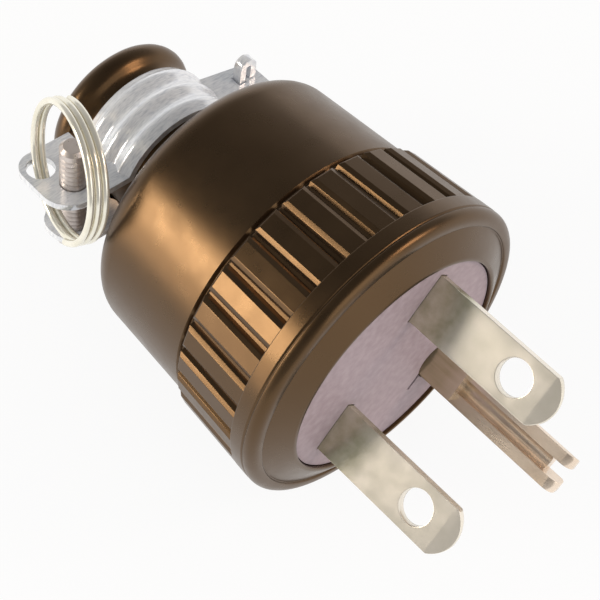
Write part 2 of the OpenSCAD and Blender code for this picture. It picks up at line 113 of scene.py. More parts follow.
@dataclass(frozen=True)
class LaidFrame:
    """Turn from the plug's own axes to the row frame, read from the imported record."""

    forward: Vector
    screw_way: Vector

    @classmethod
    def from_record(cls, record: dict) -> "LaidFrame":
        """Reads the plug's axis from its face mount and the screw's way from the ring's hinge.

        Args:
            record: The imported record.

        Returns:
            The frame in which the plug lies.
        """
        face = next(m for m in record["mounts"] if m["name"] == "receptacle_face")
        hinge = next(j for j in record["behaviour"]["joints"] if j["name"] == "ring_swing")
        return cls(Vector(face["axis"]).normalized(), -Vector(hinge["axis"]).normalized())

    def turn(self) -> Matrix:
        """Returns the turn from the plug's own axes to the row frame."""
        across = self.screw_way.cross(self.forward)
        return Matrix((across, self.screw_way, self.forward)).transposed()

    def lay(self, piece: bpy.types.Object) -> None:
        """Turns a piece from the plug's own axes into place and applies the turn.

        Args:
            piece: The piece to lay.
        """
        piece.matrix_world = self.turn().to_4x4() @ piece.matrix_world
        make_only(piece)
        bpy.ops.object.transform_apply(location=True, rotation=True, scale=True)


def make_only(piece: bpy.types.Object) -> None:
    """Makes a piece the only one that is selected, and active.

    Args:
        piece: The piece to select.
    """
    bpy.ops.object.select_all(action="DESELECT")
    piece.select_set(True)
    bpy.context.view_layer.objects.active = piece


def apply_modifiers(piece: bpy.types.Object) -> None:
    """Applies every modifier of a piece in order.

    Args:
        piece: The piece to finish.
    """
    make_only(piece)
    for modifier in list(piece.modifiers):
        bpy.ops.object.modifier_apply(modifier=modifier.name)


def soften(piece: bpy.types.Object, angle: float) -> None:
    """Shades a piece smooth across its small edges and keeps its broad faces flat.

    Args:
        piece: The piece to shade.
        angle: Angle in degrees above which an edge stays sharp.
    """
    make_only(piece)
    bpy.ops.object.shade_smooth_by_angle(angle=math.radians(angle))
    weigh = piece.modifiers.new("true_flats", "WEIGHTED_NORMAL")
    weigh.keep_sharp = True
    weigh.weight = FLAT_WEIGHT
    apply_modifiers(piece)


def join_all(pieces: list[bpy.types.Object]) -> bpy.types.Object:
    """Joins several pieces into the first one.

    Args:
        pieces: The pieces to join.

    Returns:
        The joined piece.
    """
    make_only(pieces[0])
    for piece in pieces[1:]:
        piece.select_set(True)
    bpy.ops.object.join()
    return bpy.context.view_layer.objects.active


def rounded(profile: Profile, radius: float, steps: int = 3) -> Profile:
    """Rounds every corner of an open profile.

    Args:
        profile: Points as radius and height.
        radius: Largest cut-back from a corner along its two sides.
        steps: Points that replace a corner, less one.

    Returns:
        The profile with each corner replaced by a short curve.
    """
    smooth = [profile[0]]
    for before, corner, after in zip(profile, profile[1:], profile[2:]):
        at, start, end = Vector(corner), Vector(before), Vector(after)
        shorter = min((start - at).length, (end - at).length)
        cut = min(radius, CORNER_SHARE * shorter)
        first = at + (start - at).normalized() * cut
        last = at + (end - at).normalized() * cut
        for i in range(steps + 1):
            share = i / steps
            point = first.lerp(at, share).lerp(at.lerp(last, share), share)
            smooth.append((point.x, point.y))
    return smooth + [profile[-1]]


def turned(name: str, profile: Profile, sides: int, closed: bool) -> bpy.types.Object:
    """Turns a profile into a round piece by drawing a circle out step by step.

    Args:
        name: Name of the new piece.
        profile: Points as radius and height along the axis, in millimetres.
        sides: Vertices round the axis.
        closed: Whether the last circle joins the first, or both ends are filled.

    Returns:
        The new piece, about the plug's own axis.
    """
    bpy.ops.object.select_all(action="DESELECT")
    radius, height = profile[0]
    bpy.ops.mesh.primitive_circle_add(
        vertices=sides, radius=radius * MM, fill_type="NOTHING", location=(0, 0, height * MM)
    )
    piece = bpy.context.active_object
    piece.name = name
    bpy.ops.object.transform_apply(location=True, rotation=True, scale=True)
    bpy.ops.object.mode_set(mode="EDIT")
    bpy.ops.mesh.select_all(action="SELECT")
    ends = profile[1:] + ([profile[0]] if closed else [])
    if not closed:
        bpy.ops.mesh.edge_face_add()
    for next_radius, next_height in ends:
        bpy.ops.mesh.extrude_region_move(
            TRANSFORM_OT_translate={"value": (0, 0, (next_height - height) * MM)}
        )
        share = next_radius / radius
        bpy.ops.transform.resize(
            value=(share, share, 1), center_override=(0, 0, next_height * MM)
        )
        radius, height = next_radius, next_height
    bpy.ops.mesh.select_all(action="SELECT")
    bpy.ops.mesh.remove_doubles(threshold=MERGE_TURNED)
    bpy.ops.mesh.normals_make_consistent(inside=False)
    bpy.ops.object.mode_set(mode="OBJECT")
    return piece


def dress(piece: bpy.types.Object, material: bpy.types.Material, body: Body, node: str) -> None:
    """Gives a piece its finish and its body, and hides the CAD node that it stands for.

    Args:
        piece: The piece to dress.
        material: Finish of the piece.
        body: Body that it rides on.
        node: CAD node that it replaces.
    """
    piece.data.materials.clear()
    piece.data.materials.append(material)
    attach(piece, body.value)
    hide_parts(node)


def seen_rays(nodes: bpy.types.Nodes, links: bpy.types.NodeLinks) -> Socket:
    """Adds a test for the rays by which a background is seen, directly or in metal.

    Args:
        nodes: Nodes of the material or world.
        links: Their links.

    Returns:
        1 for such a ray, or else 0.
    """
    path = nodes.new("ShaderNodeLightPath")
    seen = path.outputs["Is Camera Ray"]
    for ray in ("Is Glossy Ray", "Is Transmission Ray"):
        either = nodes.new("ShaderNodeMath")
        either.operation = "MAXIMUM"
        links.new(seen, either.inputs[0])
        links.new(path.outputs[ray], either.inputs[1])
        seen = either.outputs[0]
    return seen


class Graph:
    """Small helper that builds one node material about the plug's own axes."""

    def __init__(self, name: str, laid: LaidFrame) -> None:
        """Starts an empty material with a Principled shader.

        Args:
            name: Name of the material.
            laid: Frame that the patterns follow.
        """
        self.material = bpy.data.materials.new(name)
        self.material.use_nodes = True
        self.nodes = self.material.node_tree.nodes
        self.links = self.material.node_tree.links
        self.shader = self.nodes["Principled BSDF"]
        place = self.nodes.new("ShaderNodeTexCoord")
        self.own_axes = self.nodes.new("ShaderNodeMapping")
        self.own_axes.vector_type = "POINT"
        self.own_axes.inputs["Rotation"].default_value = laid.turn().inverted().to_euler("XYZ")
        self.own_axes.inputs["Scale"].default_value = (1 / MM, 1 / MM, 1 / MM)
        self.links.new(place.outputs["Object"], self.own_axes.inputs["Vector"])

    def scaled(self, grain: Grain) -> Socket:
        """Draws the place out along a grain.

        Args:
            grain: Way in which it is drawn out.

        Returns:
            The place in millimetres, scaled.
        """
        mapping = self.nodes.new("ShaderNodeMapping")
        mapping.inputs["Scale"].default_value = grain.value
        self.links.new(self.own_axes.outputs["Vector"], mapping.inputs["Vector"])
        return mapping.outputs["Vector"]

    def noise(self, per_mm: float, grain: Grain = Grain.EVEN, detail: float = 4) -> Socket:
        """Adds a noise of a given fineness.

        Args:
            per_mm: Waves in a millimetre.
            grain: Way in which the noise is drawn out.
            detail: Octaves of finer noise.

        Returns:
            The noise from 0 to 1.
        """
        node = self.nodes.new("ShaderNodeTexNoise")
        node.inputs["Scale"].default_value = per_mm
        node.inputs["Detail"].default_value = detail
        self.links.new(self.scaled(grain), node.inputs["Vector"])
        return node.outputs["Fac"]

    def ramp(self, source: Socket, stops: list[tuple[float, Colour]]) -> Socket:
        """Colours a value through a list of stops.

        Args:
            source: Value to colour.
            stops: Places from 0 to 1 with their colours.

        Returns:
            The colour.
        """
        node = self.nodes.new("ShaderNodeValToRGB")
        band = node.color_ramp.elements
        while len(band) < len(stops):
            band.new(0.5)
        for element, (place, colour) in zip(band, stops):
            element.position = place
            element.color = (*colour, 1)
        self.links.new(source, node.inputs["Fac"])
        return node.outputs["Color"]

    def spread(self, source: Socket, low: float, high: float, start: float = 0.3,
               end: float = 0.7) -> Socket:
        """Maps a value to another range.

        Args:
            source: Value to map.
            low: Result at the start.
            high: Result at the end.
            start: Value that gives the low result.
            end: Value that gives the high result.

        Returns:
            The mapped value.
        """
        node = self.nodes.new("ShaderNodeMapRange")
        node.inputs["From Min"].default_value = start
        node.inputs["From Max"].default_value = end
        node.inputs["To Min"].default_value = low
        node.inputs["To Max"].default_value = high
        self.links.new(source, node.inputs["Value"])
        return node.outputs["Result"]

    def along(self) -> Socket:
        """Measures along the plug's axis.

        Returns:
            The distance in front of the face, in millimetres.
        """
        split = self.nodes.new("ShaderNodeSeparateXYZ")
        self.links.new(self.own_axes.outputs["Vector"], split.inputs["Vector"])
        return split.outputs["Z"]

    def mix(self, factor: Socket, first: Socket, second: Socket, blend: str = "MIX") -> Socket:
        """Mixes two colours.

        Args:
            factor: Share of the second colour.
            first: First colour.
            second: Second colour.
            blend: Blender's name of the way to mix.

        Returns:
            The mixed colour.
        """
        node = self.nodes.new("ShaderNodeMix")
        node.data_type = "RGBA"
        node.blend_type = blend
        self.links.new(factor, node.inputs["Factor"])
        self.links.new(first, node.inputs[MIX_FIRST])
        self.links.new(second, node.inputs[MIX_SECOND])
        return node.outputs[MIX_RESULT]

    def bump(self, height: Socket, depth_mm: float, strength: float) -> None:
        """Gives the shader a bump of a real depth.

        Args:
            height: Height from 0 to 1.
            depth_mm: Depth of the bump in millimetres.
            strength: Share of the bump that shows.
        """
        node = self.nodes.new("ShaderNodeBump")
        node.inputs["Strength"].default_value = strength
        node.inputs["Distance"].default_value = depth_mm * MM
        self.links.new(height, node.inputs["Height"])
        self.links.new(node.outputs["Normal"], self.shader.inputs["Normal"])

    def feed(self, socket: str, source: Socket) -> None:
        """Links a source to one of the shader's sockets."""
        self.links.new(source, self.shader.inputs[socket])

    def fix(self, **values: object) -> None:
        """Sets constants on the shader's own sockets, named with underscores."""
        for name, value in values.items():
            self.shader.inputs[name.replace("_", " ")].default_value = value


@dataclass(frozen=True)
class RubberFinish:
    """Dark moulded rubber with a warm sheen and a faint skin of pits."""

    dark: Colour = (0.006, 0.0048, 0.0036)
    warm: Colour = (0.013, 0.0095, 0.0065)
    sheen: Colour = (1.0, 0.58, 0.27)
    refraction: float = 1.6
    shine: float = 1.0
    smooth: float = 0.26
    rough: float = 0.33
    cloud_per_mm: float = 0.16
    cloud_start: float = 0.3
    cloud_end: float = 0.75
    gloss_per_mm: float = 0.5
    skin_per_mm: float = 1.2
    skin_low: Colour = (0.6, 0.6, 0.6)
    skin_depth: float = 0.012
    skin_share: float = 0.12
    pits_per_mm: float = 0.8
    pit_start: float = 0.66
    pit_end: float = 0.74

    def make(self, laid: LaidFrame) -> bpy.types.Material:
        """Makes the material.

        Args:
            laid: Frame that the patterns follow.

        Returns:
            The material.
        """
        graph = Graph("moulded_rubber", laid)
        cloud = graph.noise(self.cloud_per_mm)
        skin = graph.noise(self.skin_per_mm, detail=1)
        pit_noise = graph.noise(self.pits_per_mm, detail=2)
        pits = graph.ramp(pit_noise, [(self.pit_start, WHITE), (self.pit_end, BLACK)])
        grains = graph.ramp(skin, [(0.0, self.skin_low), (1.0, WHITE)])
        gloss = graph.noise(self.gloss_per_mm)
        tint = graph.ramp(cloud, [(self.cloud_start, self.dark), (self.cloud_end, self.warm)])
        graph.feed("Base Color", tint)
        graph.feed("Roughness", graph.spread(gloss, self.smooth, self.rough))
        graph.fix(Specular_IOR_Level=self.shine, Specular_Tint=(*self.sheen, 1))
        graph.fix(IOR=self.refraction)
        graph.bump(graph.mix(skin, grains, pits, "MULTIPLY"), self.skin_depth, self.skin_share)
        return graph.material


@dataclass(frozen=True)
class FibreFinish:
    """Pressed fibre sheet, lilac grey with fine flecks."""

    grey: Colour = (0.35, 0.275, 0.30)
    pale: Colour = (0.43, 0.35, 0.38)
    shine: float = 0.3
    smooth: float = 0.5
    rough: float = 0.62
    fleck_per_mm: float = 1.1
    fleck_start: float = 0.35
    fleck_end: float = 0.7
    tooth_per_mm: float = 5.0
    tooth_depth: float = 0.01
    tooth_share: float = 0.4

    def make(self, laid: LaidFrame) -> bpy.types.Material:
        """Makes the material.

        Args:
            laid: Frame that the patterns follow.

        Returns:
            The material.
        """
        graph = Graph("pressed_fibre", laid)
        fleck = graph.noise(self.fleck_per_mm, detail=8)
        tint = graph.ramp(fleck, [(self.fleck_start, self.grey), (self.fleck_end, self.pale)])
        graph.feed("Base Color", tint)
        graph.feed("Roughness", graph.spread(fleck, self.smooth, self.rough))
        graph.fix(Specular_IOR_Level=self.shine)
        graph.bump(graph.noise(self.tooth_per_mm), self.tooth_depth, self.tooth_share)
        return graph.material


@dataclass(frozen=True)
class MetalFinish:
    """Plated metal with clouds of tint, and painted shade near the face or in drawn streak lines."""

    name: str
    bright: Colour
    dull: Colour
    grain: Grain
    smooth: float
    rough: float
    metal: float = 1.0
    streak_per_mm: float = 1.2
    cloud_per_mm: float = 0.35
    cloud_start: float = 0.3
    cloud_end: float = 0.65
    # These fields paint shade into the colour: a darker tint that fades out in front of the face, and
    # one along drawn streak lines.
    shade_tint: Colour = BLACK
    shade_full: float = 0.2
    face_shade_share: float = 0.9
    face_shade_start: float = 0.0
    face_shade_end: float = 0.0
    shade_line_share: float = 0.0
    shade_line_start: float = 0.35
    shade_line_end: float = 0.6
    mark_depth: float = 0.003
    mark_share: float = 0.15

    def painted_shade_shares(self, graph: Graph, streaks: Socket) -> list[Socket]:
        """Lists how much painted shade shows near the face and in the drawn streak lines.

        Args:
            graph: Material that is being made.
            streaks: Its drawn streaks.

        Returns:
            The shares, from 0 to 1.
        """
        shares = []
        if self.face_shade_end > 0:
            forward = graph.along()
            share = graph.spread(forward, self.face_shade_share, 0.0, self.face_shade_start, self.face_shade_end)
            shares.append(share)
        if self.shade_line_share > 0:
            share = graph.spread(streaks, self.shade_line_share, 0.0, self.shade_line_start, self.shade_line_end)
            shares.append(share)
        return shares

    def make(self, laid: LaidFrame) -> bpy.types.Material:
        """Makes the material.

        Args:
            laid: Frame that the patterns follow.

        Returns:
            The material.
        """
        graph = Graph(self.name, laid)
        streaks = graph.noise(self.streak_per_mm, self.grain, detail=6)
        cloud = graph.noise(self.cloud_per_mm, detail=3)
        base = graph.ramp(cloud, [(self.cloud_start, self.dull), (self.cloud_end, self.bright)])
        # Mixes in the painted shade: a darker tint near the face or along drawn streak lines.
        for share in self.painted_shade_shares(graph, streaks):
            painted_shade = graph.ramp(streaks, [(self.shade_full, self.shade_tint), (1.0, self.dull)])
            base = graph.mix(share, base, painted_shade)
        graph.feed("Base Color", base)
        graph.feed("Roughness", graph.spread(streaks, self.smooth, self.rough))
        graph.fix(Metallic=self.metal)
        graph.bump(streaks, self.mark_depth, self.mark_share)
        return graph.material


# The olive tint near the face is painted shade: it darkens the blade roots, where the dark face
# shades them and reflects in them.
NICKEL = MetalFinish(
    "dull_nickel", bright=(0.92, 0.85, 0.74), dull=(0.84, 0.78, 0.66), grain=Grain.EVEN,
    smooth=0.20, rough=0.25, metal=0.7, streak_per_mm=0.7,
    shade_tint=(0.36, 0.35, 0.20), face_shade_start=3.6, face_shade_end=5.6,
)
# The brown tint near the face is painted shade on the earth pin's root.
PIN_BRASS = MetalFinish(
    "rubbed_brass", bright=(0.94, 0.80, 0.66), dull=(0.82, 0.67, 0.53), grain=Grain.ALONG_AXIS,
    smooth=0.20, rough=0.28, metal=0.72, streak_per_mm=0.25,
    shade_tint=(0.42, 0.36, 0.19), face_shade_start=2.5, face_shade_end=5.5,
)
# The bluish tint in drawn streak lines is painted shade on the clamp straps.
ZINC = MetalFinish(
    "bright_zinc", bright=(0.97, 0.98, 0.99), dull=(0.90, 0.92, 0.95), grain=Grain.ROUND_AXIS,
    smooth=0.16, rough=0.26, metal=0.42, shade_tint=(0.28, 0.32, 0.43), shade_line_share=0.45,
)
SCREW_STEEL = MetalFinish(
    "screw_steel", bright=(0.74, 0.67, 0.63), dull=(0.54, 0.48, 0.45), grain=Grain.EVEN,
    smooth=0.24, rough=0.42, metal=0.65,
)
RING_NICKEL = MetalFinish(
    "ring_nickel", bright=(0.97, 0.94, 0.83), dull=(0.88, 0.84, 0.70), grain=Grain.EVEN,
    smooth=0.12, rough=0.20, metal=0.68,
)
GREEN_LACQUER = MetalFinish(
    "green_lacquer", bright=(0.10, 0.34, 0.12), dull=(0.06, 0.22, 0.08), grain=Grain.EVEN,
    smooth=0.3, rough=0.45,
)


@dataclass
class RubberMoulding:
    """The rubber body: face rim, lip, ribbed grip, rear body, neck and bead."""

    seat_r: float = 13.7
    rim_h: float = 0.4
    rim_w: float = 0.4
    crease_r: float = 17.0
    crease_d: float = 1.2
    crease_w: float = 0.1
    lip_d: float = 0.95
    lip_round: float = 1.1
    collar_r: float = 18.593
    collar_d: float = 2.7
    parting_d: float = 2.35
    parting_w: float = 0.15
    parting_depth: float = 0.15
    rib_front_d: float = 4.3
    rib_back_d: float = 13.4
    rib_count: int = 30
    rib_turn: float = 8.0
    rib_w: float = 2.5
    rib_flank: float = 0.4
    rib_depth: float = 0.7
    rib_drop: float = 0.05
    rib_edge: float = 0.3
    rib_edge_round: float = 0.045
    grip_taper: float = 4.0
    waist_w: float = 0.7
    waist_depth: float = 0.35
    body_step: float = 0.68
    body_taper: float = 3.4
    body_back_d: float = 29.4
    shoulder_r: float = 3.2
    neck_r: float = 7.5
    neck_fillet: float = 1.0
    bead_r: float = 9.2
    bead_len: float = 4.2
    bead_round: float = 1.7
    bead_angle: int = 60
    neck_back_d: float = 46.0
    cord_r: float = 5.2
    cord_edge: float = 0.3
    pocket_r: float = 12.7
    pocket_d: float = 15.0
    disc_t: float = 1.0
    corner_round: float = 0.16
    bite: float = 0.5
    sides: int = 240
    sharp_angle: float = 44.0

    def grip_r(self, depth: float) -> float:
        """Returns the radius of the grip's cone at a depth behind the face."""
        return self.collar_r - (depth - self.collar_d) * math.tan(math.radians(self.grip_taper))

    @staticmethod
    def arc(r: float, height: float, radius: float, start: int, end: int) -> Profile:
        """Draws an arc between two angles.

        Args:
            r: Radius at which its middle lies.
            height: Height at which its middle lies.
            radius: Its own radius.
            start: Angle in degrees at which it starts.
            end: Angle in degrees at which it ends.

        Returns:
            The points of the arc.
        """
        step = (end - start) / ARC_STEPS
        angles = [math.radians(start + step * i) for i in range(ARC_STEPS + 1)]
        return [(r + radius * math.cos(a), height + radius * math.sin(a)) for a in angles]

    def section(self) -> Profile:
        """Draws the half section of the moulding.

        Returns:
            The points from the bore's front end, round the face and grip, to the bore's rear end.
        """
        lip_middle = (self.collar_r - self.lip_round, -self.lip_d - self.lip_round)
        front = [
            (self.cord_r, -self.pocket_d), (self.pocket_r, -self.pocket_d),
            (self.pocket_r, -self.disc_t), (self.seat_r, -self.disc_t),
            (self.seat_r, self.rim_h), (self.seat_r + self.rim_w, self.rim_h),
            (self.crease_r, -self.crease_d), (self.crease_r + self.crease_w, -self.lip_d),
            *self.arc(*lip_middle, self.lip_round, 90, 0),
            (self.collar_r, -self.parting_d + self.parting_w),
            (self.collar_r - self.parting_depth, -self.parting_d),
            (self.collar_r, -self.parting_d - self.parting_w),
        ]
        foot = self.grip_r(self.rib_back_d) - self.rib_depth
        step_d = self.rib_back_d + self.waist_w
        step_r = self.grip_r(self.rib_back_d) - self.body_step
        grip = [
            (self.grip_r(self.rib_front_d), -self.rib_front_d),
            (self.grip_r(self.rib_front_d) - self.rib_depth, -self.rib_front_d),
            (foot, -self.rib_back_d),
            (foot - self.waist_depth, -self.rib_back_d - self.waist_w / 2),
            (step_r - self.waist_depth / 2, -step_d + self.waist_w / 4),
            (step_r, -step_d),
        ]
        return rounded(front + grip, self.corner_round) + self.rear_section(step_d, step_r)

    def rear_section(self, step_d: float, step_r: float) -> Profile:
        """Draws the section of the rear body, shoulder, neck and bead.

        Args:
            step_d: Depth at which the rear body starts.
            step_r: Its radius there.

        Returns:
            The points from the shoulder to the bore's rear end.
        """
        shoulder_d = self.body_back_d - self.shoulder_r
        drop = (shoulder_d - step_d) * math.tan(math.radians(self.body_taper))
        mid_r = step_r - drop - self.shoulder_r
        fillet_middle = (self.neck_r + self.neck_fillet, -self.body_back_d - self.neck_fillet)
        bead_middle = (self.bead_r - self.bead_round, self.bead_round - self.neck_back_d)
        return [
            *self.arc(mid_r, -shoulder_d, self.shoulder_r, 0, -90),
            *self.arc(*fillet_middle, self.neck_fillet, 90, 180),
            (self.neck_r, self.bead_len - self.neck_back_d),
            *self.arc(*bead_middle, self.bead_round, self.bead_angle, -90),
            (self.cord_r + self.cord_edge, -self.neck_back_d),
            (self.cord_r, self.cord_edge - self.neck_back_d),
        ]

    def rib(self) -> bpy.types.Object:
        """Models one rib with sloping flanks and broken edges.

        Returns:
            The rib, on the grip's cone.
        """
        taper = math.radians(self.grip_taper)
        length = (self.rib_back_d - self.rib_front_d) / math.cos(taper) + self.bite
        height = self.rib_depth + self.bite
        spread = self.rib_flank * height / self.rib_depth
        bpy.ops.object.select_all(action="DESELECT")
        bpy.ops.mesh.primitive_cube_add(size=1, location=(-height / 2 * MM, 0, length / 2 * MM))
        rib = bpy.context.active_object
        rib.scale = (height * MM, self.rib_w * MM, length * MM)
        bpy.ops.object.transform_apply(location=True, rotation=True, scale=True)
        bpy.ops.object.mode_set(mode="EDIT")
        bpy.ops.mesh.select_all(action="DESELECT")
        bpy.ops.object.mode_set(mode="OBJECT")
        for vertex in rib.data.vertices:
            vertex.select = vertex.co.x < -height / 2 * MM
        bpy.ops.object.mode_set(mode="EDIT")
        bpy.ops.transform.resize(
            value=(1, (self.rib_w + 2 * spread) / self.rib_w, 1), center_override=(0, 0, 0)
        )
        bpy.ops.mesh.select_all(action="DESELECT")
        bpy.ops.object.mode_set(mode="OBJECT")
        for edge in rib.data.edges:
            ends = [rib.data.vertices[i].co for i in edge.vertices]
            edge.select = all(end.x > -height / 2 * MM for end in ends)
        bpy.ops.object.mode_set(mode="EDIT")
        bpy.ops.mesh.select_mode(type="EDGE")
        bpy.ops.mesh.bevel(offset=self.rib_edge * MM, segments=1, affect="EDGES")
        bpy.ops.mesh.bevel(offset=self.rib_edge_round * MM, segments=2, affect="EDGES")
        bpy.ops.mesh.select_all(action="SELECT")
        bpy.ops.mesh.normals_make_consistent(inside=False)
        bpy.ops.mesh.select_mode(type="VERT")
        bpy.ops.object.mode_set(mode="OBJECT")
        foot = Vector((self.grip_r(self.rib_back_d) - self.rib_drop, 0, -self.rib_back_d)) * MM
        rib.matrix_world = Matrix.Translation(foot) @ Matrix.Rotation(taper, 4, "Y")
        make_only(rib)
        bpy.ops.object.transform_apply(location=True, rotation=True, scale=True)
        return rib

    def build(self, laid: LaidFrame) -> bpy.types.Object:
        """Builds and dresses the moulding.

        Args:
            laid: Frame in which the plug lies.

        Returns:
            The finished piece.
        """
        moulding = turned("rubber_moulding", self.section(), self.sides, closed=True)
        ribs = [self.rib()]
        for _ in range(1, self.rib_count):
            rib = ribs[0].copy()
            rib.data = ribs[0].data.copy()
            bpy.context.scene.collection.objects.link(rib)
            ribs.append(rib)
        for i, rib in enumerate(ribs):
            rib.rotation_euler.z = math.radians(self.rib_turn + i * 360 / self.rib_count)
        moulding = join_all([moulding] + ribs)
        laid.lay(moulding)
        soften(moulding, self.sharp_angle)
        dress(moulding, RubberFinish().make(laid), Body.PLUG, "rubber_body")
        return moulding


@dataclass
class EdgedPiece:
    """A copy of a CAD solid with its sharp edges broken."""

    node: str
    name: str
    slot: Slot
    edge: float = 0.1
    cut_angle: float = 35.0
    sharp_angle: float = 40.0
    flat_angle: float = 0.5
    edge_steps: int = 2

    def build(self, material: bpy.types.Material) -> bpy.types.Object:
        """Copies the solid, rounds its edges and dresses it.

        Args:
            material: Finish of the piece.

        Returns:
            The finished piece.
        """
        source = frame["nodes"][self.node]
        piece = source.copy()
        piece.data = source.data.copy()
        piece.parent = None
        for key in list(piece.keys()):
            del piece[key]
        piece.name = self.name
        bpy.context.scene.collection.objects.link(piece)
        make_only(piece)
        bpy.ops.object.mode_set(mode="EDIT")
        bpy.ops.mesh.select_all(action="SELECT")
        bpy.ops.mesh.remove_doubles(threshold=MERGE_SOLID)
        bpy.ops.mesh.customdata_custom_splitnormals_clear()
        bpy.ops.mesh.dissolve_limited(angle_limit=math.radians(self.flat_angle))
        bpy.ops.object.mode_set(mode="OBJECT")
        bevel = piece.modifiers.new("broken_edges", "BEVEL")
        bevel.width = self.edge * MM
        bevel.segments = self.edge_steps
        bevel.limit_method = "ANGLE"
        bevel.angle_limit = math.radians(self.cut_angle)
        bevel.use_clamp_overlap = True
        apply_modifiers(piece)
        soften(piece, self.sharp_angle)
        dress(piece, material, Body.PLUG, self.node)
        return piece


@dataclass
class ClampScrew:
    """Slotted screw through the clamp's ears, with its thread modelled."""

    place_x: float = 12.6
    place_d: float = 36.9
    head_y: float = -3.6
    head_r: float = 2.5
    head_h: float = 1.0
    head_top_r: float = 2.05
    head_crown_r: float = 2.325
    head_crown_h: float = 0.75
    head_side_h: float = 0.15
    radius: float = 1.5
    length: float = 12.7
    pitch: float = 0.7
    thread_depth: float = 0.16
    root_share: float = 0.5
    crest_share: float = 0.85
    plain: float = 1.2
    chamfer: float = 0.4
    slot_w: float = 0.8
    slot_d: float = 0.4
    cutter_h: float = 2.0
    cutter_len: float = 7.5
    sides: int = 64
    sharp_angle: float = 25.0

    def section(self) -> Profile:
        """Draws the half section of the screw.

        Returns:
            The points from the head's top to the thread's end.
        """
        points = [
            (self.head_top_r, -self.head_h), (self.head_crown_r, -self.head_crown_h),
            (self.head_r, -self.head_side_h), (self.head_r, 0),
            (self.radius, 0), (self.radius, self.plain),
        ]
        height = self.plain
        while height + self.pitch < self.length - self.chamfer:
            root = height + self.pitch * self.root_share
            crest = height + self.pitch * self.crest_share
            points.append((self.radius - self.thread_depth, root))
            points.append((self.radius, crest))
            points.append((self.radius, height + self.pitch))
            height += self.pitch
        shoulder = (self.radius, self.length - self.chamfer)
        return points + [shoulder, (self.radius - self.chamfer, self.length)]

    def build(self, laid: LaidFrame) -> bpy.types.Object:
        """Builds and dresses the screw.

        Args:
            laid: Frame in which the plug lies.

        Returns:
            The finished piece.
        """
        screw = turned("clamp_screw_threaded", self.section(), self.sides, closed=False)
        self.cut_slot(screw)
        screw.matrix_world = Matrix.Translation(
            Vector((-self.place_x, self.head_y, -self.place_d)) * MM
        ) @ Matrix.Rotation(math.radians(-90), 4, "X")
        laid.lay(screw)
        bpy.ops.object.shade_smooth_by_angle(angle=math.radians(self.sharp_angle))
        dress(screw, SCREW_STEEL.make(laid), Body.PLUG, "clamp_screw")
        return screw

    def cut_slot(self, screw: bpy.types.Object) -> None:
        """Cuts the screwdriver slot across the head.

        Args:
            screw: The screw, about its own axis.
        """
        middle = self.slot_d - self.head_h - self.cutter_h / 2
        bpy.ops.object.select_all(action="DESELECT")
        bpy.ops.mesh.primitive_cube_add(size=1, location=(0, 0, middle * MM))
        blade = bpy.context.active_object
        blade.scale = (self.cutter_len * MM, self.slot_w * MM, self.cutter_h * MM)
        bpy.ops.object.transform_apply(location=True, rotation=True, scale=True)
        cut = screw.modifiers.new("slot", "BOOLEAN")
        cut.operation = "DIFFERENCE"
        cut.object = blade
        apply_modifiers(screw)
        bpy.data.objects.remove(blade)


@dataclass
class SplitRing:
    """Coiled wire ring that threads the hole in the upper screw ear."""

    hole: tuple[float, float, float] = (-14.2, 3.2, -40.5)
    radius: float = 7.4
    wire: float = 0.78
    gap: float = 0.02
    turns: float = 2.5
    start: float = -60.0
    rise: float = 41.0
    yaw: float = 14.0
    lean: float = 9.0
    wire_sides: int = 16
    steps_a_turn: int = 96
    sharp_angle: float = 50.0

    def place(self) -> Matrix:
        """Works out where the ring hangs.

        Returns:
            The turn and place of the ring, from a ring about the X axis.
        """
        lift = Vector((0, math.sin(math.radians(self.rise)), math.cos(math.radians(self.rise))))
        return (
            Matrix.Translation(Vector(self.hole) * MM)
            @ Matrix.Rotation(math.radians(-self.lean), 4, "Z")
            @ Matrix.Rotation(math.radians(-self.yaw), 4, "Y")
            @ Matrix.Translation(lift * self.radius * MM)
        )

    def build(self, laid: LaidFrame) -> bpy.types.Object:
        """Winds the wire, closes its ends and dresses it.

        Args:
            laid: Frame in which the plug lies.

        Returns:
            The finished piece.
        """
        reach = self.turns * (self.wire + self.gap)
        bpy.ops.object.select_all(action="DESELECT")
        bpy.ops.mesh.primitive_circle_add(
            vertices=self.wire_sides, radius=self.wire / 2 * MM, fill_type="NOTHING",
            location=(-reach / 2 * MM, 0, self.radius * MM), rotation=(math.radians(90), 0, 0),
        )
        ring = bpy.context.active_object
        ring.name = "split_ring_coil"
        bpy.ops.object.transform_apply(location=True, rotation=True, scale=True)
        coil = ring.modifiers.new("coil", "SCREW")
        coil.axis = "X"
        coil.angle = math.radians(-360 * self.turns)
        coil.screw_offset = reach * MM
        coil.steps = coil.render_steps = round(self.steps_a_turn * self.turns)
        coil.use_merge_vertices = False
        apply_modifiers(ring)
        bpy.ops.object.mode_set(mode="EDIT")
        bpy.ops.mesh.select_all(action="DESELECT")
        bpy.ops.mesh.select_non_manifold()
        bpy.ops.mesh.edge_face_add()
        bpy.ops.mesh.select_all(action="SELECT")
        bpy.ops.mesh.normals_make_consistent(inside=False)
        bpy.ops.object.mode_set(mode="OBJECT")
        ring.matrix_world = self.place() @ Matrix.Rotation(math.radians(-self.start), 4, "X")
        laid.lay(ring)
        bpy.ops.object.shade_smooth_by_angle(angle=math.radians(self.sharp_angle))
        dress(ring, RING_NICKEL.make(laid), Body.RING, "split_ring")
        return ring


